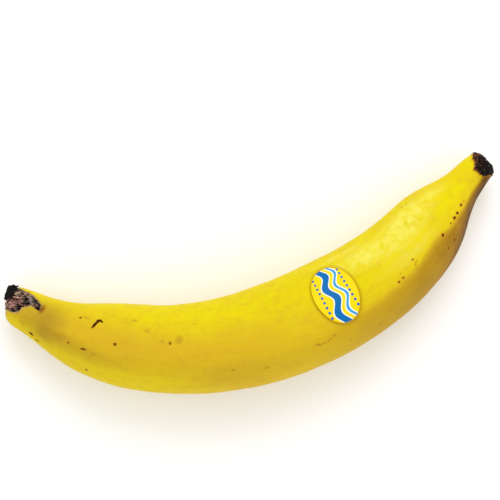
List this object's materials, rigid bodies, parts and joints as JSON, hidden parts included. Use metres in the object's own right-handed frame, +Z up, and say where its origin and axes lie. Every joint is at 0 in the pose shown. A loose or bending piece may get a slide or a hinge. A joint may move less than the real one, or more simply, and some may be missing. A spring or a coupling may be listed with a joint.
{
  "type": "plantain",
  "caption": "Ripe yellow plantain, a fruit for cooking, lying on its side: curved and softly ridged, with a torn stem end, a crusty blossom cap and a small oval label.",
  "frame": {"origin": "bottom centre of the fruit's box, on the surface it rests on", "axes": "+X along the chord from the torn stem end to the blossom end, +Y towards the concave side of the curve, +Z up"},
  "size_m": [0.2569, 0.084, 0.0518],
  "materials": {
    "peel": "smooth waxy fruit peel, satin, with small brown marks",
    "torn_tissue": "dry torn stem fibres, rough",
    "dried_cap": "charred-looking dry crust, rough",
    "label": "printed and coated fruit label, semi-gloss"
  },
  "bodies": {
    "root": {"plantain": "peel", "label": "label"}
  },
  "joints": []
}
